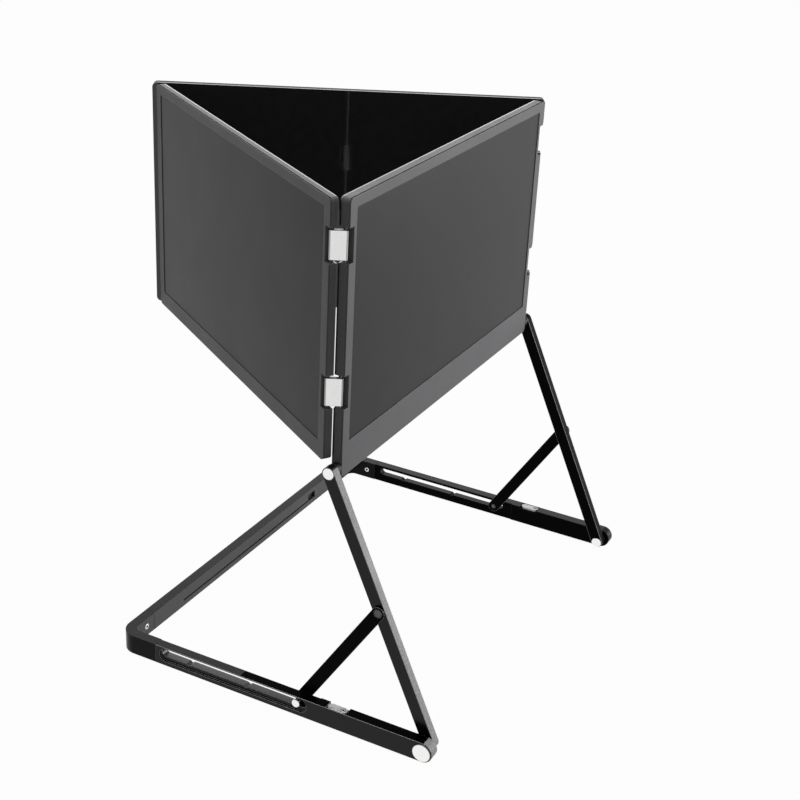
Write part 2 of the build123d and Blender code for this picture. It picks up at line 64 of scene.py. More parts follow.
# ---- sizes that several sub-assemblies share ----
# Screens: width, thickness, active area, and the frame's edges above and below that.
SCREEN_W = 365.0
SIDE_T = 7.4
CENTRE_T = 9.4
ACTIVE_W = 344.2
ACTIVE_H = 193.6
TOP_BEZEL = 8.6
CENTRE_CHIN = 29.0
SIDE_CHIN = 14.4
# Folds: each pin's distance from its screen's end, the pins' distance from each other, and the heights
# of the plates' middles above a side screen's lower edge and under its upper one.
SIDE_INSET = 3.6
CENTRE_INSET = 2.0
LINK_PITCH = 10.5
PLATE_RISE = 59.0
PLATE_DROP = 37.0
# Stand: foot pin, strut from pin to pin, tilt axle above the centre screen's lower edge, and how far from
# the middle plane the inner and outer faces of strut, stay and rail lie, and a rail's proud inner face.
FOOT_Y = -301.9
FOOT_Z = 9.8
STRUT_L = 245.1
STRUT_ANGLE = math.radians(65.2)
TILT_RISE = 7.75
STRUT_IN = 188.2
STRUT_OUT = 196.2
BRACE_IN = 196.65
BRACE_OUT = 198.65
RAIL_IN = 199.1
RAIL_OUT = 208.4
PROUD_IN = 198.3
RAIL_TOP = 19.1
BAR_FRONT = -4.7
TILT_Y = FOOT_Y + STRUT_L * math.cos(STRUT_ANGLE)
TILT_Z = FOOT_Z + STRUT_L * math.sin(STRUT_ANGLE)
CENTRE_Z = TILT_Z - TILT_RISE
CENTRE_H = TOP_BEZEL + ACTIVE_H + CENTRE_CHIN
SIDE_H = TOP_BEZEL + ACTIVE_H + SIDE_CHIN
SIDE_Z = CENTRE_Z + CENTRE_H - SIDE_H
HINGE_HEIGHTS = {"lower": SIDE_Z + PLATE_RISE, "upper": SIDE_Z + SIDE_H - PLATE_DROP}

# Small rounded edges have two facets: they start ROUND from the corner and pass SOFT from it.
ROUND = 0.35
SOFT = 0.12

# Angles between two faces: within one flat face, over a curve drawn smooth, and at an edge that is broken.
FLAT_TURN = math.radians(0.2)
SMOOTH_TURN = math.radians(32)
EDGE_TURN = math.radians(35)
# Distances in metres within which the corners of a new piece and of a node count as one.
PIECE_GAP = 1e-7
NODE_GAP = 1e-6

# Boxes of |x|, y and z, lowest and highest, in which a piece has another finish, SKIN deep.
# A rail's top has painted light, a grey, behind GREY_Y and painted shade, a black, in front of it, up to its
# round end in front of NOSE_Y, which has painted light, a light grey.
GREY_Y = -125.0
NOSE_Y = -303.0
SKIN = 0.3
TOP_Z = (RAIL_TOP - SKIN, RAIL_TOP + SKIN)
SHADED_RAIL_TOP: Box = ((198.0, NOSE_Y, TOP_Z[0]), (208.2, GREY_Y, TOP_Z[1]))
LIT_RAIL_TOP: Box = ((160.0, GREY_Y, TOP_Z[0]), (209.0, 5.0, TOP_Z[1]))
LIT_NOSE_BOX: Box = ((198.5, -312.0, -1.0), (208.2, NOSE_Y, 20.0))
# A rail's through slot, the side of a rail that faces the other one, which gets painted shade, and the
# crossbar's front face, which gets painted light.
SLOT_BOX: Box = ((199.2, -194.0, 3.0), (206.3, -39.5, 17.9))
SHADED_INNER_BOX: Box = ((198.0, -312.0, -1.0), (199.3, 0.0, 18.6))
LIT_FRONT_BOX: Box = ((0.0, BAR_FRONT - 0.1, 1.0), (197.0, BAR_FRONT + SKIN, 18.6))


# ---- colour and node helpers ----
def to_linear(code: str) -> tuple[float, float, float, float]:
    """Turns an sRGB hex colour to a linear one.

    Args:
        code: Colour such as "#3A3A3C".

    Returns:
        Linear red, green, blue and an alpha of 1.
    """
    channels = np.array([int(code[i : i + 2], 16) for i in (1, 3, 5)]) / 255
    linear = np.where(channels <= 0.04045, channels / 12.92, ((channels + 0.055) / 1.055) ** 2.4)
    return (*linear.tolist(), 1.0)


def put(tree: Tree, kind: str, settings: dict | None = None, links: dict | None = None) -> bpy.types.Node:
    """Adds one shader node with its settings and links.

    Args:
        tree: Node tree to add to.
        kind: Node type without its "ShaderNode" start.
        settings: Property or input, by name or number, to its value.
        links: Input, by name or number, to the output socket it comes from.

    Returns:
        The new node.
    """
    node = tree.nodes.new("ShaderNode" + kind)
    for key, value in (settings or {}).items():
        if isinstance(key, str) and hasattr(node, key):
            setattr(node, key, value)
        else:
            node.inputs[key].default_value = value
    for key, socket in (links or {}).items():
        tree.links.new(socket, node.inputs[key])
    return node


def own_axes(tree: Tree, origin: Triple = ZERO, turn: Triple = ZERO) -> Socket:
    """Adds the nodes that measure Object coordinates from another zero point, along turned axes.

    Args:
        tree: Node tree to add to.
        origin: The zero point in millimetres.
        turn: Turn of the axes about X, Y and Z in degrees.

    Returns:
        Output socket of the coordinates, in metres.
    """
    return put(tree, "Mapping", {
        "vector_type": "TEXTURE",
        "Location": tuple(c * MM for c in origin),
        "Rotation": tuple(math.radians(a) for a in turn),
    }, {"Vector": put(tree, "TexCoord").outputs["Object"]}).outputs["Vector"]


def empty_material(name: str) -> tuple[Material, Tree]:
    """Makes a material without any node.

    Args:
        name: Name of the material.

    Returns:
        The material and its node tree.
    """
    material = bpy.data.materials.new(name)
    material.use_nodes = True
    material.node_tree.nodes.clear()
    return material, material.node_tree


# ---- finishes ----
class Grain(Enum):
    """How the fine pattern of a finish runs."""

    CAST = "round grain in every direction"
    PEEL = "soft waves of a sprayed or moulded skin"
    BRUSHED = "long scratches one way"
    TURNED = "rings about a lathe's axis"


@dataclass(frozen=True)
class Finish:
    """One real surface: its colours, gloss and fine relief.

    Attributes:
        name: Common name of the material and how its surface was made.
        tone: sRGB hex colour of the high places.
        shade: sRGB hex colour of the low places.
        rough: Lowest and highest roughness.
        grain: How the pattern runs.
        pitch: Size of one grain, scratch or ring in millimetres.
        relief: Height of the pattern in millimetres.
        metal: Metallic share.
        level: Specular level, 0.5 for a clean dielectric.
    """

    name: str
    tone: str
    shade: str
    rough: tuple[float, float]
    grain: Grain
    pitch: float
    relief: float
    metal: float = 0.0
    level: float = 0.5

    def pattern(self, tree: Tree, centre: Triple) -> Socket:
        """Adds the nodes of the fine pattern.

        Args:
            tree: Node tree to add to.
            centre: Point in millimetres that the pattern is centred on.

        Returns:
            Output socket with the pattern's height from 0 to 1.
        """
        place = own_axes(tree, centre)
        scale = 1 / (self.pitch * MM)
        if self.grain is Grain.TURNED:
            flat = put(tree, "VectorMath", {"operation": "MULTIPLY", 1: (0, 1, 1)}, {0: place})
            radius = put(tree, "VectorMath", {"operation": "LENGTH"}, {0: flat.outputs[0]})
            rings = {"noise_dimensions": "1D", "Scale": scale, "Detail": 2.0}
            return put(tree, "TexNoise", rings, {"W": radius.outputs["Value"]}).outputs["Fac"]
        if self.grain is Grain.BRUSHED:
            # a scratch is 50 times as long as it is wide
            drawn = put(tree, "VectorMath", {"operation": "MULTIPLY", 1: (0.02, 1, 1)}, {0: place})
            place = drawn.outputs[0]
        detail = 0.5 if self.grain is Grain.PEEL else 3.0
        return put(tree, "TexNoise", {"Scale": scale, "Detail": detail}, {"Vector": place}).outputs["Fac"]

    def surface(self, tree: Tree, centre: Triple = ZERO) -> Socket:
        """Adds the nodes of the whole surface.

        Args:
            tree: Node tree to add to.
            centre: Point in millimetres that the pattern is centred on.

        Returns:
            Output socket of the shader.
        """
        height = self.pattern(tree, centre)
        place = put(tree, "TexCoord").outputs["Object"]
        # handling leaves patches of some 45 mm a little duller than the rest
        patches = put(tree, "TexNoise", {"Scale": 22.0, "Detail": 2.0}, {"Vector": place}).outputs["Fac"]
        both = put(tree, "Math", {"operation": "MULTIPLY", 1: 0.5}, {0: height})
        both = put(tree, "Math", {"operation": "MULTIPLY_ADD", 1: 0.5}, {0: patches, 2: both.outputs[0]})
        gloss = put(tree, "MapRange", {
            "From Min": 0.35, "From Max": 0.65, "To Min": self.rough[0], "To Max": self.rough[1],
        }, {"Value": both.outputs[0]})
        tint = put(tree, "MapRange", {"From Min": 0.3, "From Max": 0.7}, {"Value": height})
        colour = put(tree, "Mix", {
            "data_type": "RGBA", 6: to_linear(self.shade), 7: to_linear(self.tone),
        }, {0: tint.outputs["Result"]})
        bump = put(tree, "Bump", {"Strength": 0.6, "Distance": self.relief * MM}, {"Height": height})
        return put(tree, "BsdfPrincipled", {"Metallic": self.metal, "Specular IOR Level": self.level}, {
            "Base Color": colour.outputs[2], "Roughness": gloss.outputs["Result"],
            "Normal": bump.outputs["Normal"],
        }).outputs["BSDF"]

    def make(self, centre: Triple = ZERO) -> Material:
        """Builds the material, its pattern centred on a point in millimetres."""
        material, tree = empty_material(self.name)
        put(tree, "OutputMaterial", links={"Surface": self.surface(tree, centre)})
        return material

    def parted(self, regions: list[tuple["Finish", Box]], origin: Triple = ZERO,
               turn: Triple = ZERO) -> Material:
        """Builds the material of a piece that has other finishes inside boxes.

        Args:
            regions: Each other finish with its box: lowest and highest x, y and z in millimetres, in the
                piece's own axes, where x counts both ways.
            origin: Zero point of those axes in millimetres.
            turn: Turn of those axes about X, Y and Z in degrees.

        Returns:
            The new material.
        """
        material, tree = empty_material(f"{self.name}_parted")
        along = put(tree, "SeparateXYZ", links={"Vector": own_axes(tree, origin, turn)}).outputs
        across = put(tree, "Math", {"operation": "ABSOLUTE"}, {0: along[0]}).outputs[0]
        shader = self.surface(tree)
        for other, box in regions:
            inside = None
            for low, high, socket in zip(*box, (across, along[1], along[2])):
                # a number is inside where it is no further from the middle than half the box
                limits = {"operation": "COMPARE", 1: (low + high) / 2 * MM, 2: (high - low) / 2 * MM}
                here = put(tree, "Math", limits, {0: socket}).outputs[0]
                if inside is not None:
                    here = put(tree, "Math", {"operation": "MULTIPLY"}, {0: inside, 1: here}).outputs[0]
                inside = here
            shader = put(tree, "MixShader", links={0: inside, 1: shader, 2: other.surface(tree)}).outputs[0]
        put(tree, "OutputMaterial", links={"Surface": shader})
        return material


@cache
def stock(finish: Finish) -> Material:
    """The finish's material for pieces whose pattern needs no place of its own, made once."""
    return finish.make()


# The screen bodies are bead-blasted aluminium, anodised dark grey: satin, with a fine even grain.
# The real grain is about 0.1 mm, and is drawn at 0.9 mm so that it shows.
ANODISED = Finish("anodised_aluminium_grey", "#69696B", "#5F5F61", (0.46, 0.58), Grain.CAST, 0.9, 0.01,
                  level=0.2)
# The same metal where an edge was cut after blasting: brighter and smoother.
ANODISED_EDGE = Finish("anodised_aluminium_cut_edge", "#757577", "#69696B", (0.4, 0.5), Grain.CAST, 0.9,
                       0.004, level=0.25)
# The same metal with painted shade: nearly black.
SHADED_ANODISED = Finish("anodised_aluminium_painted_shade", "#2E2E30", "#282829", (0.46, 0.58), Grain.CAST, 0.9,
                       0.008, level=0.1)
# Painted shade in the seam round a frame: near black.
SEAM_SHADE = Finish("painted_shade_in_seam", "#0A0A0B", "#060607", (0.6, 0.7), Grain.CAST, 0.8, 0.004, level=0.1)
# Aluminium of a slot milled after coating: grey, with fine cutter marks along it.
MILLED = Finish("milled_aluminium", "#505052", "#3E3E40", (0.3, 0.45), Grain.BRUSHED, 0.4, 0.006, metal=1.0)
# Bead-blasted aluminium on the near strut's front and the near rail's round end: a light grey that is painted
# light, as the far strut's front stays black.
LIT_BLASTED = Finish("bead_blasted_aluminium_painted_light", "#B6B6B8", "#7E7E80", (0.45, 0.6), Grain.CAST, 1.5, 0.02,
                 level=0.3)
# Anti-glare film on a dark panel: black with a soft broad sheen. Its sparkle, 0.05 mm, is drawn at 0.8 mm.
DISPLAY_FILM = Finish("anti_glare_film", "#080809", "#060607", (0.27, 0.33), Grain.CAST, 0.8, 0.004,
                      level=0.14)
# The same film on the side screens, with a little less sheen.
SIDE_FILM = replace(DISPLAY_FILM, name="anti_glare_film_of_side_screens", level=0.11)
# Screen-printed black border under the film: flat black.
BORDER_INK = Finish("screen_printed_black_border", "#0C0C0D", "#09090A", (0.4, 0.5), Grain.PEEL, 2.0, 0.002,
                    level=0.2)
# Injection-moulded gloss ABS: deep black with very faint waves.
GLOSS_COVER = Finish("moulded_gloss_abs_black", "#38383A", "#343436", (0.02, 0.05), Grain.PEEL, 9.0, 0.001)
# The same plastic on the corner pieces: blacker, with more waves and less gloss.
CORNER_ABS = Finish("moulded_gloss_abs_corner", "#08080A", "#060607", (0.12, 0.2), Grain.PEEL, 3.0, 0.006,
                    level=0.085)
# Powder-coated aluminium: black with a fine orange peel of about 0.5 mm, drawn at 1 mm.
POWDER_COAT = Finish("powder_coated_aluminium_black", "#0C0C0D", "#09090A", (0.34, 0.44), Grain.PEEL, 1.0,
                     0.012, level=0.1)
# The same coat with painted highlight on broken edges: a light, half-metallic grey.
EDGE_HIGHLIGHT_COAT = Finish("powder_coat_edges_painted_highlight", "#8C8C8E", "#6C6C6E", (0.3, 0.4), Grain.PEEL, 1.0, 0.006,
                     metal=0.5)
# The crossbar's coat, a grey lighter than the rails'; on the tops of the near rail and the corners behind
# GREY_Y it is painted light.
BAR_COAT_AND_TOP_LIGHT = Finish("powder_coated_aluminium_bar", "#464647", "#3E3E3F", (0.34, 0.44), Grain.PEEL, 1.0, 0.012,
                  level=0.03)
# Its front face, with painted light: a lighter grey again.
LIT_BAR_FACE = Finish("powder_coated_aluminium_front_painted_light", "#5C5C5D", "#525253", (0.4, 0.5), Grain.PEEL, 1.0, 0.012,
                  level=0.15)
# Satin coat with painted shade: a deeper black.
SHADED_COAT = Finish("satin_coated_extrusion_deep", "#0B0B0C", "#080809", (0.3, 0.4), Grain.PEEL, 0.8, 0.006,
                   level=0.02)
# The same coat with more painted shade, on the near rail's top in front of GREY_Y: the deepest black.
SHADED_TOP_COAT = replace(SHADED_COAT, name="satin_coated_extrusion_deepest_painted_shade", tone="#030303", shade="#020202",
                   level=0.008)
# The near strut's and near rail's coat, with fine drawing lines and smoother than the powder coat.
STRUT_COAT = Finish("satin_coated_extrusion_black", "#0C0C0D", "#09090A", (0.2, 0.27), Grain.BRUSHED, 0.8,
                    0.006, level=0.2)
# Nickel-plated steel, brushed along its length: nearly white, with short soft highlights.
NICKEL = Finish("brushed_nickel_plate", "#E8E8E7", "#D8D8D7", (0.28, 0.42), Grain.BRUSHED, 0.7, 0.004,
                metal=1.0)
# The same plating on parts faced in a lathe: rings about the middle.
NICKEL_TURNED = Finish("turned_nickel_plate", "#FAFAF9", "#ECECEB", (0.2, 0.35), Grain.TURNED, 0.6, 0.006,
                       metal=1.0)
# Zinc-plated steel: greyer and duller than nickel.
ZINC = Finish("zinc_plated_steel", "#9E9E9E", "#8C8C8C", (0.38, 0.5), Grain.CAST, 0.6, 0.006, metal=1.0)
# Plated steel tumbled dull: grey and even.
TUMBLED = Finish("tumbled_dull_plate", "#8E8E90", "#7E7E80", (0.5, 0.6), Grain.CAST, 0.7, 0.006, level=0.25)
# Blued steel of rivets, pins' sides and sawn ends: dark, with a small highlight.
BLUED = Finish("blued_steel_rivet", "#5C5C5E", "#4C4C4E", (0.3, 0.4), Grain.TURNED, 0.5, 0.006, metal=1.0)
# Bare turned steel inside the joints.
TURNED_STEEL = Finish("turned_steel", "#B4B4B5", "#9C9C9E", (0.25, 0.4), Grain.TURNED, 0.5, 0.006, metal=1.0)
# Acetal bushes: dull black plastic.
ACETAL = Finish("turned_black_acetal", "#151516", "#101011", (0.5, 0.6), Grain.TURNED, 0.8, 0.006, level=0.3)
# Moulded rubber: matt black with a fine grit.
RUBBER = Finish("moulded_matt_rubber", "#1A1A1A", "#131313", (0.8, 0.92), Grain.CAST, 1.0, 0.02, level=0.25)
# White diffuser foil over the light guide.
DIFFUSER = Finish("white_diffuser_foil", "#E4E4E6", "#D8D8DB", (0.6, 0.7), Grain.CAST, 1.2, 0.004)
# Glass-fibre board under green solder mask.
SOLDER_MASK = Finish("green_solder_mask_board", "#1C5A36", "#134527", (0.3, 0.45), Grain.CAST, 1.5, 0.01)
# Bottom and walls of a hex socket: a darker grey than the head.
SOCKET_DARK = Finish("dark_hex_socket", "#3A3A3C", "#2A2A2C", (0.4, 0.5), Grain.CAST, 0.6, 0.004,
                     metal=1.0)


# ---- meshes worked out on grids ----
# Points round a circle or hexagon, a multiple of 12 so that a hexagon's corners are hit.
AROUND = 48


@dataclass(frozen=True)
class Place:
    """Where a piece's own millimetre axes lie in the part's frame.

    Attributes:
        origin: The piece's own zero point.
        x: Direction of its first axis.
        y: Direction of its second axis.
        z: Direction of its third axis.
    """

    origin: Triple = ZERO
    x: Triple = (1.0, 0.0, 0.0)
    y: Triple = (0.0, 1.0, 0.0)
    z: Triple = (0.0, 0.0, 1.0)

    @classmethod
    def outboard(cls, side: int, y: float, z: float) -> "Place":
        """Place of a pin along X: its origin on the middle plane, its third axis pointing to one side."""
        return cls((0.0, y, z), (0.0, float(side), 0.0), (0.0, 0.0, 1.0), (float(side), 0.0, 0.0))

    def apply(self, points: np.ndarray) -> np.ndarray:
        """The same points in the part's frame: each coordinate times its axis, plus the origin."""
        return points @ np.array([self.x, self.y, self.z]) + np.array(self.origin)


@dataclass
class Shell:
    """A closed surface in a piece's own millimetres.

    Attributes:
        points: One row for each vertex.
        faces: Vertex numbers of each face.
        paints: Material number of each face.
    """

    points: np.ndarray
    faces: list[list[int]]
    paints: list[int]

    def moved(self, place: Place) -> "Shell":
        """The same surface in the part's frame."""
        return Shell(place.apply(self.points), self.faces, self.paints)

    @classmethod
    def joined(cls, shells: list["Shell"]) -> "Shell":
        """Several surfaces as one, their points and faces one after another.

        Args:
            shells: Surfaces in the same frame.

        Returns:
            One surface that holds them all.
        """
        starts = np.cumsum([0] + [len(shell.points) for shell in shells]).tolist()
        faces = [[i + start for i in face] for shell, start in zip(shells, starts) for face in shell.faces]
        return cls(np.vstack([shell.points for shell in shells]), faces,
                   [paint for shell in shells for paint in shell.paints])


def circle(radius: float, count: int = AROUND) -> np.ndarray:
    """Points of a circle against the clock: radius times the cosine and sine of evenly spaced angles."""
    angle = np.arange(count) / count * 2 * math.pi
    return radius * np.column_stack([np.cos(angle), np.sin(angle)])


def hexagon(flats: float) -> np.ndarray:
    """Outline of a hexagon: its radius is half the flats over the cosine of the angle to a flat's middle.

    Args:
        flats: Distance across the flats in millimetres.

    Returns:
        Points in order against the clock.
    """
    angle = np.arange(AROUND) / AROUND * 2 * math.pi
    to_flat = (angle + math.pi / 6) % (math.pi / 3) - math.pi / 6
    return circle(1.0) * (flats / 2 / np.cos(to_flat))[:, None]


def rounded_rectangle(width: float, height: float, radius: float, steps: int = 6) -> np.ndarray:
    """Outline of a rectangle about zero with a quarter circle at each corner.

    Args:
        width: Size along the first axis.
        height: Size along the second axis.
        radius: Corner radius.
        steps: Points along each quarter circle, less one.

    Returns:
        Points in order against the clock.
    """
    quarter = np.repeat(np.arange(4), steps + 1)
    angle = (quarter + np.tile(np.arange(steps + 1) / steps, 4)) * math.pi / 2
    middles = np.array([(1, 1), (-1, 1), (-1, -1), (1, -1)]) * (width / 2 - radius, height / 2 - radius)
    return middles[quarter] + radius * np.column_stack([np.cos(angle), np.sin(angle)])


def stadium(length: float, width: float, steps: int = 16) -> np.ndarray:
    """Outline with two straight sides and two half circles, from zero to length along the first axis.

    Args:
        length: Distance between the middles of the half circles.
        width: Width across the straight sides.
        steps: Steps along each half circle.

    Returns:
        Points in order against the clock.
    """
    turn = np.linspace(-math.pi / 2, math.pi / 2, steps + 1)
    arc = width / 2 * np.column_stack([np.cos(turn), np.sin(turn)])
    return np.vstack([arc + (length, 0.0), -arc])


def drawn_in(outline: np.ndarray, distances: np.ndarray) -> np.ndarray:
    """Copies of an outline moved inwards: each point goes along the mitre of its two edges' normals.

    Args:
        outline: Points in order against the clock.
        distances: How far each copy is moved in.

    Returns:
        One outline for each distance.
    """
    edges = np.roll(outline, -1, 0) - outline
    normals = np.column_stack([edges[:, 1], -edges[:, 0]]) / np.linalg.norm(edges, axis=1)[:, None]
    before = np.roll(normals, 1, 0)
    mitre = (normals + before) / (1 + (normals * before).sum(1))[:, None]
    return outline[None] - mitre[None] * distances[:, None, None]


def grid_faces(stations: int, around: int, loop: bool = False) -> np.ndarray:
    """Quads of a grid that closes around: corners (k, i), (k, i+1), (k+1, i+1), (k+1, i).

    Args:
        stations: Number of rings.
        around: Points in each ring.
        loop: Whether the last ring joins the first.

    Returns:
        Four vertex numbers for each quad.
    """
    k, i = np.meshgrid(np.arange(stations if loop else stations - 1), np.arange(around), indexing="ij")
    k_next, i_next = (k + 1) % stations, (i + 1) % around
    corners = [k * around + i, k * around + i_next, k_next * around + i_next, k_next * around + i]
    return np.stack(corners, -1).reshape(-1, 4)


def loft(rings: np.ndarray, heights: list[float] | np.ndarray, paints: dict[int, int] | None = None) -> Shell:
    """Closed surface through rings at given heights, with a flat face at each end.

    Args:
        rings: Outlines, one row of points each.
        heights: Height of each ring.
        paints: Material number of the band above a ring, where it isn't 0; -1 is the last end's face.

    Returns:
        The surface.
    """
    stations, around = rings.shape[:2]
    points = np.column_stack([rings.reshape(-1, 2), np.repeat(heights, around)])
    faces = grid_faces(stations, around).tolist()
    last = (stations - 1) * around
    ends = [list(range(around))[::-1], list(range(last, last + around))]
    bands = np.repeat([(paints or {}).get(k, 0) for k in range(stations - 1)], around).tolist()
    return Shell(points, faces + ends, bands + [0, (paints or {}).get(-1, 0)])


def slab(outline: np.ndarray, profile: Profile, paints: dict[int, int] | None = None) -> Shell:
    """Plate whose outline is drawn in by each profile row's inset, at the row's height."""
    rows = np.array(profile, float)
    return loft(drawn_in(outline, rows[:, 0]), rows[:, 1], paints)


def lathe(profile: Profile, count: int = AROUND, paints: dict[int, int] | None = None) -> Shell:
    """Turned piece: a circle of each profile row's radius, at the row's height."""
    rows = np.array(profile, float)
    return loft(circle(1.0, count)[None] * rows[:, 0, None, None], rows[:, 1], paints)


def pierced(outline: np.ndarray, hole: np.ndarray, section: list[Triple]) -> Shell:
    """Plate with a hole: a closed section carried round between the outline and the hole.

    Args:
        outline: Outer points in order against the clock.
        hole: Inner points, as many and starting at the same angle.
        section: (share towards the hole, millimetres drawn in from either, height) round the section.

    Returns:
        The surface.
    """
    share, inset, height = np.array(section, float).T
    outer = drawn_in(outline, inset)
    inner = drawn_in(hole, -inset)
    rings = outer * (1 - share)[:, None, None] + inner * share[:, None, None]
    points = np.column_stack([rings.reshape(-1, 2), np.repeat(height, len(outline))])
    faces = grid_faces(len(section), len(outline), loop=True).tolist()
    return Shell(points, faces, [0] * len(faces))


# ---- pieces and nodes ----
def add_object(name: str, data: bpy.types.ID) -> bpy.types.Object:
    """Puts a mesh, lamp or camera into the scene.

    Args:
        name: Name of the object.
        data: What it shows.

    Returns:
        The new object.
    """
    thing = bpy.data.objects.new(name, data)
    bpy.context.scene.collection.objects.link(thing)
    return thing


def add_piece(name: str, shell: Shell, materials: list[Material], body: str, node: str) -> None:
    """Puts a surface into the scene as one piece.

    Args:
        name: Name of the piece.
        shell: Surface in the part's frame.
        materials: Materials by number.
        body: Body that the piece rides on.
        node: Node that the piece stands for.
    """
    mesh = bpy.data.meshes.new(name)
    mesh.from_pydata((shell.points * MM).tolist(), [], shell.faces)
    mesh.polygons.foreach_set("material_index", np.array(shell.paints, np.int32))
    for material in materials:
        mesh.materials.append(material)
    merged = bmesh.new()
    merged.from_mesh(mesh)
    bmesh.ops.remove_doubles(merged, verts=merged.verts, dist=PIECE_GAP)
    merged.to_mesh(mesh)
    merged.free()
    mesh.polygons.foreach_set("use_smooth", np.ones(len(mesh.polygons), bool))
    mesh.set_sharp_from_angle(angle=SMOOTH_TURN)
    mesh.validate()
    piece = add_object(name, mesh)
    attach(piece, body)
    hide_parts(node)
    log.info("piece %s: %d faces on %s", name, len(mesh.polygons), body)


def dress(node: str, face: Material, edge: Material | None = None, width: float = 0.0) -> None:
    """Gives a node its finish and breaks its sharp edges.

    Args:
        node: Name of the node.
        face: Material of its faces.
        edge: Material of the broken edges, the faces' own where it is None.
        width: Width of the broken edges in millimetres, 0 for none.
    """
    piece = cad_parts[node]
    piece.data.materials.clear()
    piece.data.materials.append(face)
    piece.data.materials.append(edge or face)
    if width:
        weld = piece.modifiers.new("joined corners", "WELD")
        weld.merge_threshold = NODE_GAP
        # a flat face as one polygon, as the slivers of a cut-up one would fold over at its broken edge
        flats = piece.modifiers.new("whole flat faces", "DECIMATE")
        flats.decimate_type = "DISSOLVE"
        flats.angle_limit = FLAT_TURN
        bevel = piece.modifiers.new("broken edges", "BEVEL")
        bevel.width = width * MM
        bevel.segments = 2
        bevel.limit_method = "ANGLE"
        bevel.angle_limit = EDGE_TURN
        # the shortest edge of a small arc would otherwise thin every broken edge to nothing
        bevel.use_clamp_overlap = False
        bevel.material = 1
        # flat faces keep their own shade right up to a broken edge
        bevel.face_strength_mode = "FSTR_ALL"
        shade = piece.modifiers.new("flat shading", "WEIGHTED_NORMAL")
        shade.keep_sharp = True
        shade.use_face_influence = True
    log.info("node %s: %s", node, face.name)


# ---- screens ----
@dataclass(frozen=True)
class Fold:
    """Two-pin hinge between the centre screen and a side screen.

    Attributes:
        name: "left" or "right".
        side: -1 for the near side and 1 for the far side.
        fold: Turn of the side screen behind the centre one, in degrees.
        share: Share of that turn made at the first pin.
    """

    name: str
    side: int
    fold: float
    share: float

    def pins(self) -> tuple[np.ndarray, np.ndarray]:
        """Works out where the two pins stand.

        Returns:
            (x, y) of the pin in the centre screen and of the pin in the side screen.
        """
        first = np.array([self.side * (SCREEN_W / 2 - CENTRE_INSET), TILT_Y])
        turn = math.radians(self.fold * self.share)
        return first, first + LINK_PITCH * np.array([self.side * math.cos(turn), math.sin(turn)])

    def axes(self, turn: float) -> tuple[Triple, Triple]:
        """Directions that +X and +Y take after a turn about Z, in degrees."""
        c, s = math.cos(math.radians(turn)), math.sin(math.radians(turn))
        return (c, s, 0.0), (-s, c, 0.0)

    def screen(self) -> Place:
        """Works out where the side screen stands.

        Returns:
            Its place: X along its width, Y from display to cover, Z up.
        """
        along, back = self.axes(self.side * self.fold)
        edge = SIDE_INSET if self.side > 0 else SCREEN_W - SIDE_INSET
        origin = self.pins()[1] - edge * np.array(along[:2]) - SIDE_T / 2 * np.array(back[:2])
        return Place((origin[0], origin[1], SIDE_Z), along, back)


@dataclass
class ScreenPanel:
    """One screen: frame, display, backlight, controller board and rear cover.

    Attributes:
        name: Start of its nodes' names.
        place: X along its width, Y from display to cover, Z up.
        height: Height of the frame.
        chin: Height of the frame's lower edge.
        film: Finish of the display's front.
        shaded_top: Whether the frame's upper edge has painted shade, a darker grey than the rest.
        lip: Thickness of the frame in front of the display.
        glass: Thickness of the display.
        corner: Radius of the display's corners.
        ground: Chamfer ground along the display's edges.
        tuck: How far the display reaches behind the lip.
        ink: Width of the black border that shows inside the lip.
        seam: Depths between which the frame's outer seam has painted shade, near black.
        seam_end: Distance of the seam's ends from the frame's.
    """

    name: str
    place: Place
    height: float
    chin: float
    film: Finish = SIDE_FILM
    shaded_top: bool = False
    lip: float = 0.6
    glass: float = 1.4
    corner: float = 0.6
    ground: float = 0.15
    tuck: float = 1.8
    ink: float = 0.9
    seam: tuple[float, float] = (0.4, 1.65)
    seam_end: float = 2.0

    def display(self) -> None:
        """Builds the display: a glass sheet with ground edges, black border and anti-glare middle."""
        profile = [
            (self.ground, -self.glass), (0, self.ground - self.glass), (0, -self.ground), (self.ground, 0),
            (self.tuck + self.ink, 0),
        ]
        size = np.array([ACTIVE_W, ACTIVE_H]) + 2 * self.tuck
        rings = np.stack([rounded_rectangle(*(size - 2 * inset), self.corner) for inset, _ in profile])
        shell = loft(rings, [height for _, height in profile], {0: 1, 1: 1, 2: 1, 3: 1})
        middle = self.place.apply(np.array([SCREEN_W / 2, self.lip, self.chin + ACTIVE_H / 2]))
        front = Place(tuple(middle), self.place.x, self.place.z, tuple(-c for c in self.place.y))
        add_piece(f"{self.name}_display_sheet", shell.moved(front), [stock(self.film), stock(BORDER_INK)],
                  f"{self.name}_screen", f"{self.name}_display")

    def build(self) -> None:
        """Builds and dresses the whole screen."""
        turn = 0.0, 0.0, math.degrees(math.atan2(self.place.x[1], self.place.x[0]))
        # the seam's painted shade and the upper edge's painted shade are the frame's outermost skin
        low, high = self.height - 1.0, self.height + 1.0
        seam = (self.seam_end, self.seam[0], low), (SCREEN_W - self.seam_end, self.seam[1], high)
        regions = [(SEAM_SHADE, seam)]
        # the right screen's upper edge gets painted shade, a darker grey
        if self.shaded_top:
            top = (-1.0, SKIN, self.height - SKIN), (SCREEN_W + 1.0, 9.0, high)
            regions.append((SHADED_ANODISED, top))
        face, edge = (finish.parted(regions, self.place.origin, turn) for finish in (ANODISED, ANODISED_EDGE))
        dress(f"{self.name}_frame", face, edge, width=0.2)
        dress(f"{self.name}_rear_cover", stock(GLOSS_COVER), width=0.1)
        dress(f"{self.name}_backlight", stock(DIFFUSER), width=0.1)
        dress(f"{self.name}_board", stock(SOLDER_MASK), width=0.1)
        dress(f"{self.name}_hinge_pins", stock(TUMBLED))
        self.display()


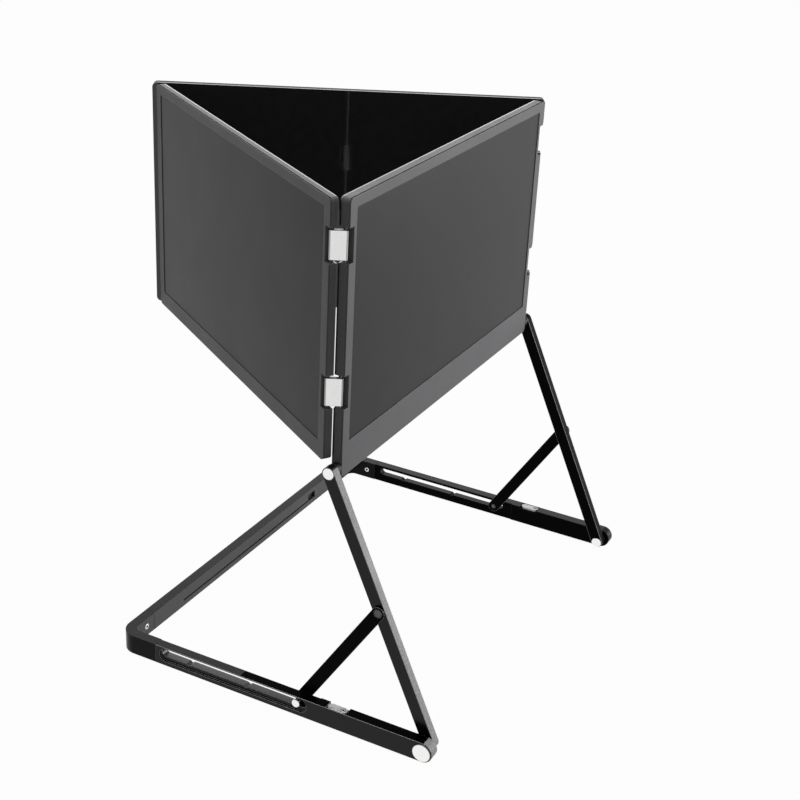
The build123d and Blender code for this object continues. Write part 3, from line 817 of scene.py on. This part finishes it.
@dataclass
class HingePlates:
    """The two link plates of one fold.

    Attributes:
        hinge: Fold that the plates belong to.
        height: Height of a plate.
        thickness: Thickness of a plate.
        corner: Radius of its upright edges.
        chamfer: Chamfer at its two ends.
    """

    hinge: Fold
    height: float = 24.0
    thickness: float = 4.0
    corner: float = 1.2
    chamfer: float = 0.4

    def plate(self) -> Shell:
        """Shape of one plate, with material 1 on its narrow faces and 2 on its sawn ends.

        Returns:
            The surface, with its length along the first axis.
        """
        half = self.height / 2
        lead = half - self.chamfer
        profile = [
            (self.chamfer, -half), (SOFT, -lead - SOFT), (0, -lead),
            (0, lead), (SOFT, lead + SOFT), (self.chamfer, half),
        ]
        outline = rounded_rectangle(LINK_PITCH + self.thickness, self.thickness, self.corner)
        shell = slab(outline, profile, {0: 2, 1: 2, 3: 2, 4: 2, -1: 2})
        quarter = len(outline) // 4
        broad = np.isin(np.arange(len(shell.faces)) % len(outline), (quarter - 1, 3 * quarter - 1))
        paints = np.array(shell.paints)
        shell.paints = np.where((paints == 0) & ~broad, 1, paints).tolist()
        return shell

    def build(self) -> None:
        """Builds both plates, bright on the two broad faces and duller on the rest."""
        first, second = self.hinge.pins()
        along = (second - first) / LINK_PITCH
        middle = (first + second) / 2
        shell = self.plate()
        for word, level in HINGE_HEIGHTS.items():
            place = Place((*middle, level), (*along, 0.0), (-along[1], along[0], 0.0))
            add_piece(f"{self.hinge.name}_hinge_plate_{word}", shell.moved(place),
                      [stock(NICKEL), stock(ZINC), stock(BLUED)], f"{self.hinge.name}_link",
                      f"{self.hinge.name}_link_{word}")


# ---- stand ----
def socket_screw(head: float, head_height: float, shank: float, length: float, flats: float) -> Shell:
    """Screw with a hexagonal socket, its head's top at zero height.

    Args:
        head: Radius of the head.
        head_height: Height of the head.
        shank: Radius of the shank.
        length: Length of the screw with its head.
        flats: Socket size across its flats.

    Returns:
        The surface, with material 1 in the socket.
    """
    one = circle(1.0)
    socket = hexagon(flats)
    depth = 0.75 * head_height
    # from the tapered tip over the rounded head into the socket, which ends in a flat cone
    rings = np.stack([
        one * shank * 0.8, one * shank, one * shank, one * head, one * head, one * (head - SOFT),
        one * (head - ROUND), socket * 1.06, socket, socket, socket * 0.4,
    ])
    heights = [
        -length, -length + 0.3, -head_height, -head_height, -ROUND, -SOFT,
        0, 0, -0.08, -depth, -depth - 0.15,
    ]
    return loft(rings, heights, {8: 1, 9: 1, -1: 1})


@dataclass
class StandBase:
    """Crossbar, two rails, two corner pieces, their screws and the rubber under them.

    Attributes:
        screw_at: Distance of the corner screws from the outside of the corner.
        head: Radius of a corner screw's head.
        head_height: Height of its head.
        shank: Radius of its shank.
        flats: Size of its socket across the flats.
    """

    screw_at: float = 30.0
    head: float = 2.7
    head_height: float = 1.2
    shank: float = 1.5
    flats: float = 2.5

    def screw(self, length: float) -> Shell:
        """A corner screw of a given length."""
        return socket_screw(self.head, self.head_height, self.shank, length, self.flats)

    def corner_screws(self) -> None:
        """Builds the four corner screws, one into each tenon as far as the middle of its bar."""
        into_rail = self.screw((RAIL_IN + RAIL_OUT) / 2 - PROUD_IN)
        into_bar = self.screw(-BAR_FRONT)
        screws = []
        for side in SIDES.values():
            on_rail = side * PROUD_IN, -BAR_FRONT - self.screw_at, FOOT_Z
            on_bar = side * (RAIL_OUT - self.screw_at), BAR_FRONT, FOOT_Z
            screws.append(into_rail.moved(Place(on_rail, (0, -side, 0), (0, 0, 1), (-side, 0, 0))))
            screws.append(into_bar.moved(Place(on_bar, (1, 0, 0), (0, 0, 1), (0, -1, 0))))
        add_piece("corner_socket_screws", Shell.joined(screws), [stock(NICKEL), stock(SOCKET_DARK)], "base",
                  "corner_screws")

    def build(self) -> None:
        """Builds and dresses the base."""
        rubber = stock(RUBBER)
        # the corners' tops behind GREY_Y get painted light in grey, and their front faces painted light in a
        # lighter grey
        corner = CORNER_ABS.parted([(BAR_COAT_AND_TOP_LIGHT, LIT_RAIL_TOP), (LIT_BAR_FACE, LIT_FRONT_BOX)])
        # the near rail: painted shade, black, on its top in front of GREY_Y, painted light, grey, on its top
        # behind it, and light grey on its round end
        near_rail_lit_and_shaded = STRUT_COAT.parted([
            (SHADED_TOP_COAT, SHADED_RAIL_TOP), (BAR_COAT_AND_TOP_LIGHT, LIT_RAIL_TOP), (MILLED, SLOT_BOX), (LIT_BLASTED, LIT_NOSE_BOX),
        ])
        # the far rail's inner side gets painted shade, a deeper black
        shaded = POWDER_COAT.parted([(SHADED_COAT, SHADED_INNER_BOX)])
        # the near rail's broken edges get painted highlight in a light grey; the far rail's keep its coat
        for word, face, rim in (("near", near_rail_lit_and_shaded, EDGE_HIGHLIGHT_COAT), ("far", shaded, POWDER_COAT)):
            dress(f"rail_{word}", face, stock(rim), width=0.26)
            dress(f"corner_{word}", corner, width=0.4)
            dress(f"pad_{word}", rubber, width=0.3)
        # the crossbar's front face gets painted light, a lighter grey than its top
        dress("crossbar", BAR_COAT_AND_TOP_LIGHT.parted([(LIT_BAR_FACE, LIT_FRONT_BOX)]), stock(BAR_COAT_AND_TOP_LIGHT), width=0.35)
        dress("grip_strip", rubber, width=0.3)
        self.corner_screws()


@dataclass
class SwingLatch:
    """Latch plate that turns inwards over the folded strut, with its shoulder screw.

    Attributes:
        pivot_x: Distance of the pivot from the middle plane.
        pivot_y: Y of the pivot.
        width: Width of the plate.
        reach: Distance from the pivot to the far end.
        thickness: Thickness of the plate.
        bore: Radius of the hole for the screw's shank.
        counterbore: Radius of the recess for its head.
        play: Gap between screw and plate.
        head: Radius of the screw's head.
        head_height: Height of the head.
        length: Length of the screw with its head.
        flats: Size of its socket across the flats.
    """

    pivot_x: float = 203.6
    pivot_y: float = -225.1
    width: float = 7.8
    reach: float = 14.5
    thickness: float = 2.35
    bore: float = 1.55
    counterbore: float = 2.5
    play: float = 0.05
    head: float = 2.2
    head_height: float = 0.8
    length: float = 8.4
    flats: float = 2.0

    def plate(self) -> Shell:
        """Shape of one plate, its top at zero height and its screw's hole about the origin.

        Returns:
            The surface, with its length along the first axis.
        """
        outline = stadium(self.reach - self.width / 2, self.width)
        angle = np.arctan2(outline[:, 1], outline[:, 0])
        hole = self.bore * np.column_stack([np.cos(angle), np.sin(angle)])
        step = self.counterbore - self.bore
        low, floor = -self.thickness, -self.head_height - self.play
        return pierced(outline, hole, [
            (0, 0.2, low), (0, 0, low + 0.2), (0, 0, -ROUND), (0, 0.1, -SOFT), (0, ROUND, 0),
            (1, step + 0.15, 0), (1, step, -0.15), (1, step, floor), (1, 0, floor), (1, 0, low),
        ])

    def build(self) -> None:
        """Builds both latches and both screws."""
        plate = self.plate()
        screw = socket_screw(self.head, self.head_height, self.bore - self.play, self.length, self.flats)
        screws = []
        for word, side in SIDES.items():
            at = (side * self.pivot_x, self.pivot_y, RAIL_TOP)
            place = Place(at, (0.0, 1.0, 0.0), (-1.0, 0.0, 0.0))
            add_piece(f"latch_plate_{word}", plate.moved(place), [stock(ZINC)], f"{word}_latch",
                      f"latch_{word}")
            screws.append(screw.moved(Place(at)))
        add_piece("latch_socket_screws", Shell.joined(screws), [stock(ZINC), stock(SOCKET_DARK)], "base",
                  "latch_screws")


@dataclass
class StrutPair:
    """The two leaning legs, their foot pins and the axle that carries the centre screen.

    Attributes:
        width: Width of a strut, seen from the side.
        cap: Radius of the foot pin's broad outer cap.
        cap_out: How far the cap stands out of the rail.
        button: Radius of the foot pin's inner end.
        button_out: How far the inner end stands out of the strut.
        shank: Radius of the foot pin between them.
        dish: Depth of the dish in both of its ends.
        disc: Radius of the bright disc on the axle's end.
        disc_depth: How deep the disc is let into the strut.
        disc_out: How far it stands out.
        disc_chamfer: Chamfer round it.
    """

    width: float = 11.4
    cap: float = 8.5
    cap_out: float = 1.1
    button: float = 5.0
    button_out: float = 1.3
    shank: float = 3.0
    dish: float = 0.12
    disc: float = 4.9
    disc_depth: float = 1.2
    disc_out: float = 0.1
    disc_chamfer: float = 0.3

    def foot_pins(self) -> None:
        """Builds the foot pins, turned with a dished cap outside and a button inside."""
        low, high = STRUT_IN - self.button_out, RAIL_OUT + self.cap_out
        profile = [
            (0, low + self.dish), (self.button - 1.2, low), (self.button - ROUND, low + 0.04),
            (self.button, low + ROUND), (self.button, low + 1), (self.shank, low + 1),
            (self.shank, RAIL_OUT), (self.cap, RAIL_OUT), (self.cap, high - 0.5),
            (self.cap - 0.15, high - 0.2), (self.cap - 0.55, high), (self.cap - 1.3, high),
            (self.cap - 1.6, high - self.dish), (0, high - self.dish),
        ]
        # only the two end faces are plated bright; the blued bands reach over the cap's rounded rim and outer
        # chamfer, a dark ring of painted shade round its face
        shell = lathe(profile, 64, {band: 1 for band in range(3, 10)})
        for word, side in SIDES.items():
            faces = [NICKEL_TURNED.make((0, FOOT_Y, FOOT_Z)), stock(BLUED)]
            add_piece(f"foot_pin_turned_{word}", shell.moved(Place.outboard(side, FOOT_Y, FOOT_Z)), faces,
                      "base", f"foot_pin_{word}")

    def axle_discs(self) -> None:
        """Builds the bright discs on both ends of the axle."""
        low, high = STRUT_OUT - self.disc_depth, STRUT_OUT + self.disc_out
        shell = lathe([
            (0, low), (self.disc, low), (self.disc, high - self.disc_chamfer),
            (self.disc - self.disc_chamfer, high), (0, high),
        ])
        discs = Shell.joined([shell.moved(Place.outboard(side, TILT_Y, TILT_Z)) for side in SIDES.values()])
        add_piece("axle_discs", discs, [NICKEL_TURNED.make((0, TILT_Y, TILT_Z))], "struts",
                  "axle_caps")

    def build(self) -> None:
        """Builds and dresses the struts and what turns in them."""
        # the near strut's front and round foot get painted light, a light grey; Y runs up the strut and Z out
        # of its front
        half = self.width / 2
        inner, outer = STRUT_IN + 0.2, STRUT_OUT - 0.2
        front = (inner, -half - 1, half - 0.45), (outer, STRUT_L + half, half + 1)
        foot = (inner, -half - 1, -half - 1), (outer, 0.5, half + 1)
        up = math.degrees(STRUT_ANGLE), 0.0, 0.0
        near_strut_lit = STRUT_COAT.parted([(LIT_BLASTED, front), (LIT_BLASTED, foot)], (0.0, FOOT_Y, FOOT_Z), up)
        # the far strut's coat has painted shade, a deeper black than the near one's
        for word, face in (("near", near_strut_lit), ("far", stock(SHADED_COAT))):
            # both struts' broken edges get painted highlight in a light grey
            dress(f"strut_{word}", face, stock(EDGE_HIGHLIGHT_COAT), width=0.35)
            dress(f"foot_spacer_{word}", stock(ACETAL), width=0.2)
            dress(f"friction_hub_{word}", stock(ACETAL), width=0.2)
        dress("tilt_axle", stock(TURNED_STEEL))
        dress("friction_tube", stock(TURNED_STEEL))
        self.foot_pins()
        self.axle_discs()


@dataclass
class BracePair:
    """The two thin stays, each with a rivet in the strut and a pin that slides in the rail.

    Attributes:
        pivot: (y, z) of the rivet.
        pin: (y, z) of the sliding pin at rest.
        rivet: Radius of the rivet's shank.
        rivet_head: Radius of its sunk head.
        rivet_sink: Depth of that head in the stay.
        slider: Radius of the sliding pin.
        slider_head: Radius of its head.
        slider_rim: Thickness of its head.
        slider_end: Distance of the head's outer face from the middle plane.
    """

    pivot: tuple[float, float] = (-250.4958, 121.0479)
    pin: tuple[float, float] = (-180.892, 11.370)
    rivet: float = 2.5
    rivet_head: float = 3.4
    rivet_sink: float = 0.8
    slider: float = 2.0
    slider_head: float = 3.7
    slider_rim: float = 1.4
    slider_end: float = 208.1

    def rivet_shape(self) -> Shell:
        """Shape of a rivet: a shank and a sunk head with a rounded rim and a dished middle."""
        head, under = self.rivet_head, BRACE_OUT - self.rivet_sink
        return lathe([
            (0, STRUT_IN + 1), (self.rivet, STRUT_IN + 1), (self.rivet, under), (head, under),
            (head, BRACE_OUT - 0.2), (head - 0.25, BRACE_OUT), (head - 1.2, BRACE_OUT),
            (head - 1.5, BRACE_OUT - 0.35), (0, BRACE_OUT - 0.25),
        ], 40)

    def slider_shape(self) -> Shell:
        """Shape of a sliding pin: a shank, with material 1, and a head with a drilled middle."""
        head, under, top = self.slider_head, self.slider_end - self.slider_rim, self.slider_end
        return lathe([
            (0, BRACE_IN), (self.slider, BRACE_IN), (self.slider, under), (head, under),
            (head, top - ROUND), (head - ROUND, top), (1.1, top), (0.8, top - 0.4), (0, top - 0.4),
        ], 40, {0: 1, 1: 1})

    def build(self) -> None:
        """Builds and dresses the stays, rivets and pins."""
        rivet, slider = self.rivet_shape(), self.slider_shape()
        for word, side in SIDES.items():
            # the stays' coat has painted shade, a deeper black, and their broken edges a painted highlight
            dress(f"brace_{word}", stock(SHADED_COAT), stock(EDGE_HIGHLIGHT_COAT), width=0.2)
            add_piece(f"rivet_turned_{word}", rivet.moved(Place.outboard(side, *self.pivot)),
                      [BLUED.make((0, *self.pivot))], "struts", f"middle_rivet_{word}")
            faces = [NICKEL_TURNED.make((0, *self.pin)), stock(BLUED)]
            add_piece(f"slider_pin_turned_{word}", slider.moved(Place.outboard(side, *self.pin)), faces,
                      "braces", f"slider_pin_{word}")


# ---- studio ----
def unit(vector: np.ndarray) -> np.ndarray:
    """The vector at a length of 1."""
    return vector / np.linalg.norm(vector)


def stand(thing: bpy.types.Object, place: Triple, axes: list[np.ndarray]) -> None:
    """Puts a lamp or camera at a place in metres, its own X, Y and Z along three directions."""
    turn = Matrix(np.column_stack(axes).tolist()).to_4x4()
    thing.matrix_world = Matrix.Translation(place) @ turn


@dataclass(frozen=True)
class Softbox:
    """A rectangular lamp behind a diffuser.

    Attributes:
        name: Name of the lamp.
        place: Its middle in metres.
        target: Point that it faces, in metres.
        size: Width and height in metres.
        level: Brightness of its face, where 1 is white.
    """

    name: str
    place: Triple
    target: Triple
    size: tuple[float, float]
    level: float

    def build(self) -> None:
        """Adds the lamp; its power is pi times its area times its brightness."""
        lamp = bpy.data.lights.new(self.name, "AREA")
        lamp.shape = "RECTANGLE"
        lamp.size, lamp.size_y = self.size
        lamp.energy = math.pi * self.size[0] * self.size[1] * self.level
        thing = add_object(self.name, lamp)
        back = unit(np.array(self.place) - np.array(self.target))
        side = unit(np.cross((0.0, 0.0, 1.0), back))
        stand(thing, self.place, [side, np.cross(back, side), back])
        thing.visible_camera = False


@dataclass
class Studio:
    """White room, soft lamps and the camera.

    Attributes:
        eye: Place of the camera in metres.
        azimuth: Direction that the camera stands in, from the front towards +X, in degrees.
        elevation: Its angle above the horizon in degrees.
        roll: Turn about its own line of sight in degrees.
        lens: Focal length for a 36 mm sensor.
        ambient: Light of the room on dull surfaces.
        floor_radius: Size of the floor in metres.
        floor_z: Its height in metres, just under the part.
        glow: Share of the floor's white that doesn't depend on the lamps.
        lamps: The soft lamps.
    """

    eye: Triple = (-1.1069, -0.7139, 0.7934)
    azimuth: float = -63.46
    elevation: float = 25.26
    roll: float = 3.04
    lens: float = 67.59
    ambient: float = 0.15
    floor_radius: float = 14.0
    floor_z: float = -0.0002
    glow: float = 0.97
    lamps: tuple[Softbox, ...] = (
        Softbox("front softbox", (1.3, -1.58, 0.38), (0.0, -0.2, 0.2), (0.7, 0.75), 14.0),
        Softbox("top softbox", (0.2, 0.3, 2.1), (0.0, -0.1, 0.2), (1.6, 1.6), 2.8),
        Softbox("back softbox", (2.5, 1.35, 1.65), (0.0, -0.1, 0.2), (2.4, 1.2), 1.9),
    )

    def camera(self) -> None:
        """Adds the camera: right and up are turned about the line of sight by the roll."""
        az, el, roll = (math.radians(a) for a in (self.azimuth, self.elevation, self.roll))
        back = np.array([math.sin(az) * math.cos(el), -math.cos(az) * math.cos(el), math.sin(el)])
        right = unit(np.cross(-back, (0.0, 0.0, 1.0)))
        up = np.cross(right, -back)
        data = bpy.data.cameras.new("camera")
        data.sensor_width = 36.0
        data.lens = self.lens
        data.clip_start, data.clip_end = 0.05, 100.0
        thing = add_object("camera", data)
        stand(thing, self.eye, [
            math.cos(roll) * right + math.sin(roll) * up, math.cos(roll) * up - math.sin(roll) * right, back,
        ])
        bpy.context.scene.camera = thing

    def seen(self, tree: Tree) -> Socket:
        """Adds the nodes that tell rays of the picture from rays of light.

        Args:
            tree: Node tree to add to.

        Returns:
            Output that is 1 for camera, mirror and glass rays and 0 for the rest.
        """
        path = put(tree, "LightPath").outputs
        found = path["Is Camera Ray"]
        for kind in ("Is Glossy Ray", "Is Transmission Ray"):
            found = put(tree, "Math", {"operation": "MAXIMUM"}, {0: found, 1: path[kind]}).outputs[0]
        return found

    def room(self) -> None:
        """Adds the world: white where it is seen, and even soft light elsewhere."""
        world = bpy.data.worlds.new("white room")
        bpy.context.scene.world = world
        world.use_nodes = True
        tree = world.node_tree
        tree.nodes.clear()
        light = put(tree, "Background", {"Color": (1, 1, 1, 1), "Strength": self.ambient})
        white = put(tree, "Background", {"Color": (1, 1, 1, 1), "Strength": 1.0})
        mix = put(tree, "MixShader", links={0: self.seen(tree), 1: light.outputs[0], 2: white.outputs[0]})
        put(tree, "OutputWorld", links={"Surface": mix.outputs[0]})

    def floor(self) -> None:
        """Adds the floor: a white disc that keeps a light shadow of the object."""
        material, tree = empty_material("white paper sweep")
        place = put(tree, "TexCoord").outputs["Object"]
        fibre = put(tree, "TexNoise", {"Scale": 40.0, "Detail": 3.0}, {"Vector": place})
        tint = put(tree, "Mix", {
            "data_type": "RGBA", 6: to_linear("#BCBCBC"), 7: to_linear("#C4C4C4"),
        }, {0: fibre.outputs["Fac"]})
        paper = put(tree, "BsdfDiffuse", links={"Color": tint.outputs[2]})
        white = put(tree, "Emission", {"Color": (1, 1, 1, 1), "Strength": 1.0})
        share = put(tree, "Math", {"operation": "MULTIPLY", 1: self.glow}, {0: self.seen(tree)})
        mix = put(tree, "MixShader", links={0: share.outputs[0], 1: paper.outputs[0], 2: white.outputs[0]})
        put(tree, "OutputMaterial", links={"Surface": mix.outputs[0]})
        ring = circle(self.floor_radius, 96)
        points = np.column_stack([ring, np.full(len(ring), self.floor_z)])
        mesh = bpy.data.meshes.new("floor")
        mesh.from_pydata(points.tolist(), [], [list(range(len(ring)))])
        mesh.materials.append(material)
        add_object("floor", mesh)

    def build(self) -> None:
        """Builds the room, floor, lamps and camera."""
        bpy.context.scene.view_settings.view_transform = "Standard"
        self.room()
        self.floor()
        for lamp in self.lamps:
            lamp.build()
        self.camera()


def main() -> None:
    """Builds every sub-assembly in order."""
    logging.basicConfig(level=logging.INFO, format="%(message)s", stream=sys.stdout)
    Studio().build()
    left = Fold("left", -1, 123.7, 0.5)
    right = Fold("right", 1, 118.7744341, 0.125)
    middle = Place((-SCREEN_W / 2, TILT_Y - CENTRE_T / 2, CENTRE_Z))
    ScreenPanel("centre", middle, CENTRE_H, CENTRE_CHIN, DISPLAY_FILM).build()
    for hinge in (left, right):
        ScreenPanel(hinge.name, hinge.screen(), SIDE_H, SIDE_CHIN, shaded_top=hinge is right).build()
        HingePlates(hinge).build()
    StandBase().build()
    StrutPair().build()
    BracePair().build()
    SwingLatch().build()


if __name__ == "__main__":
    main()
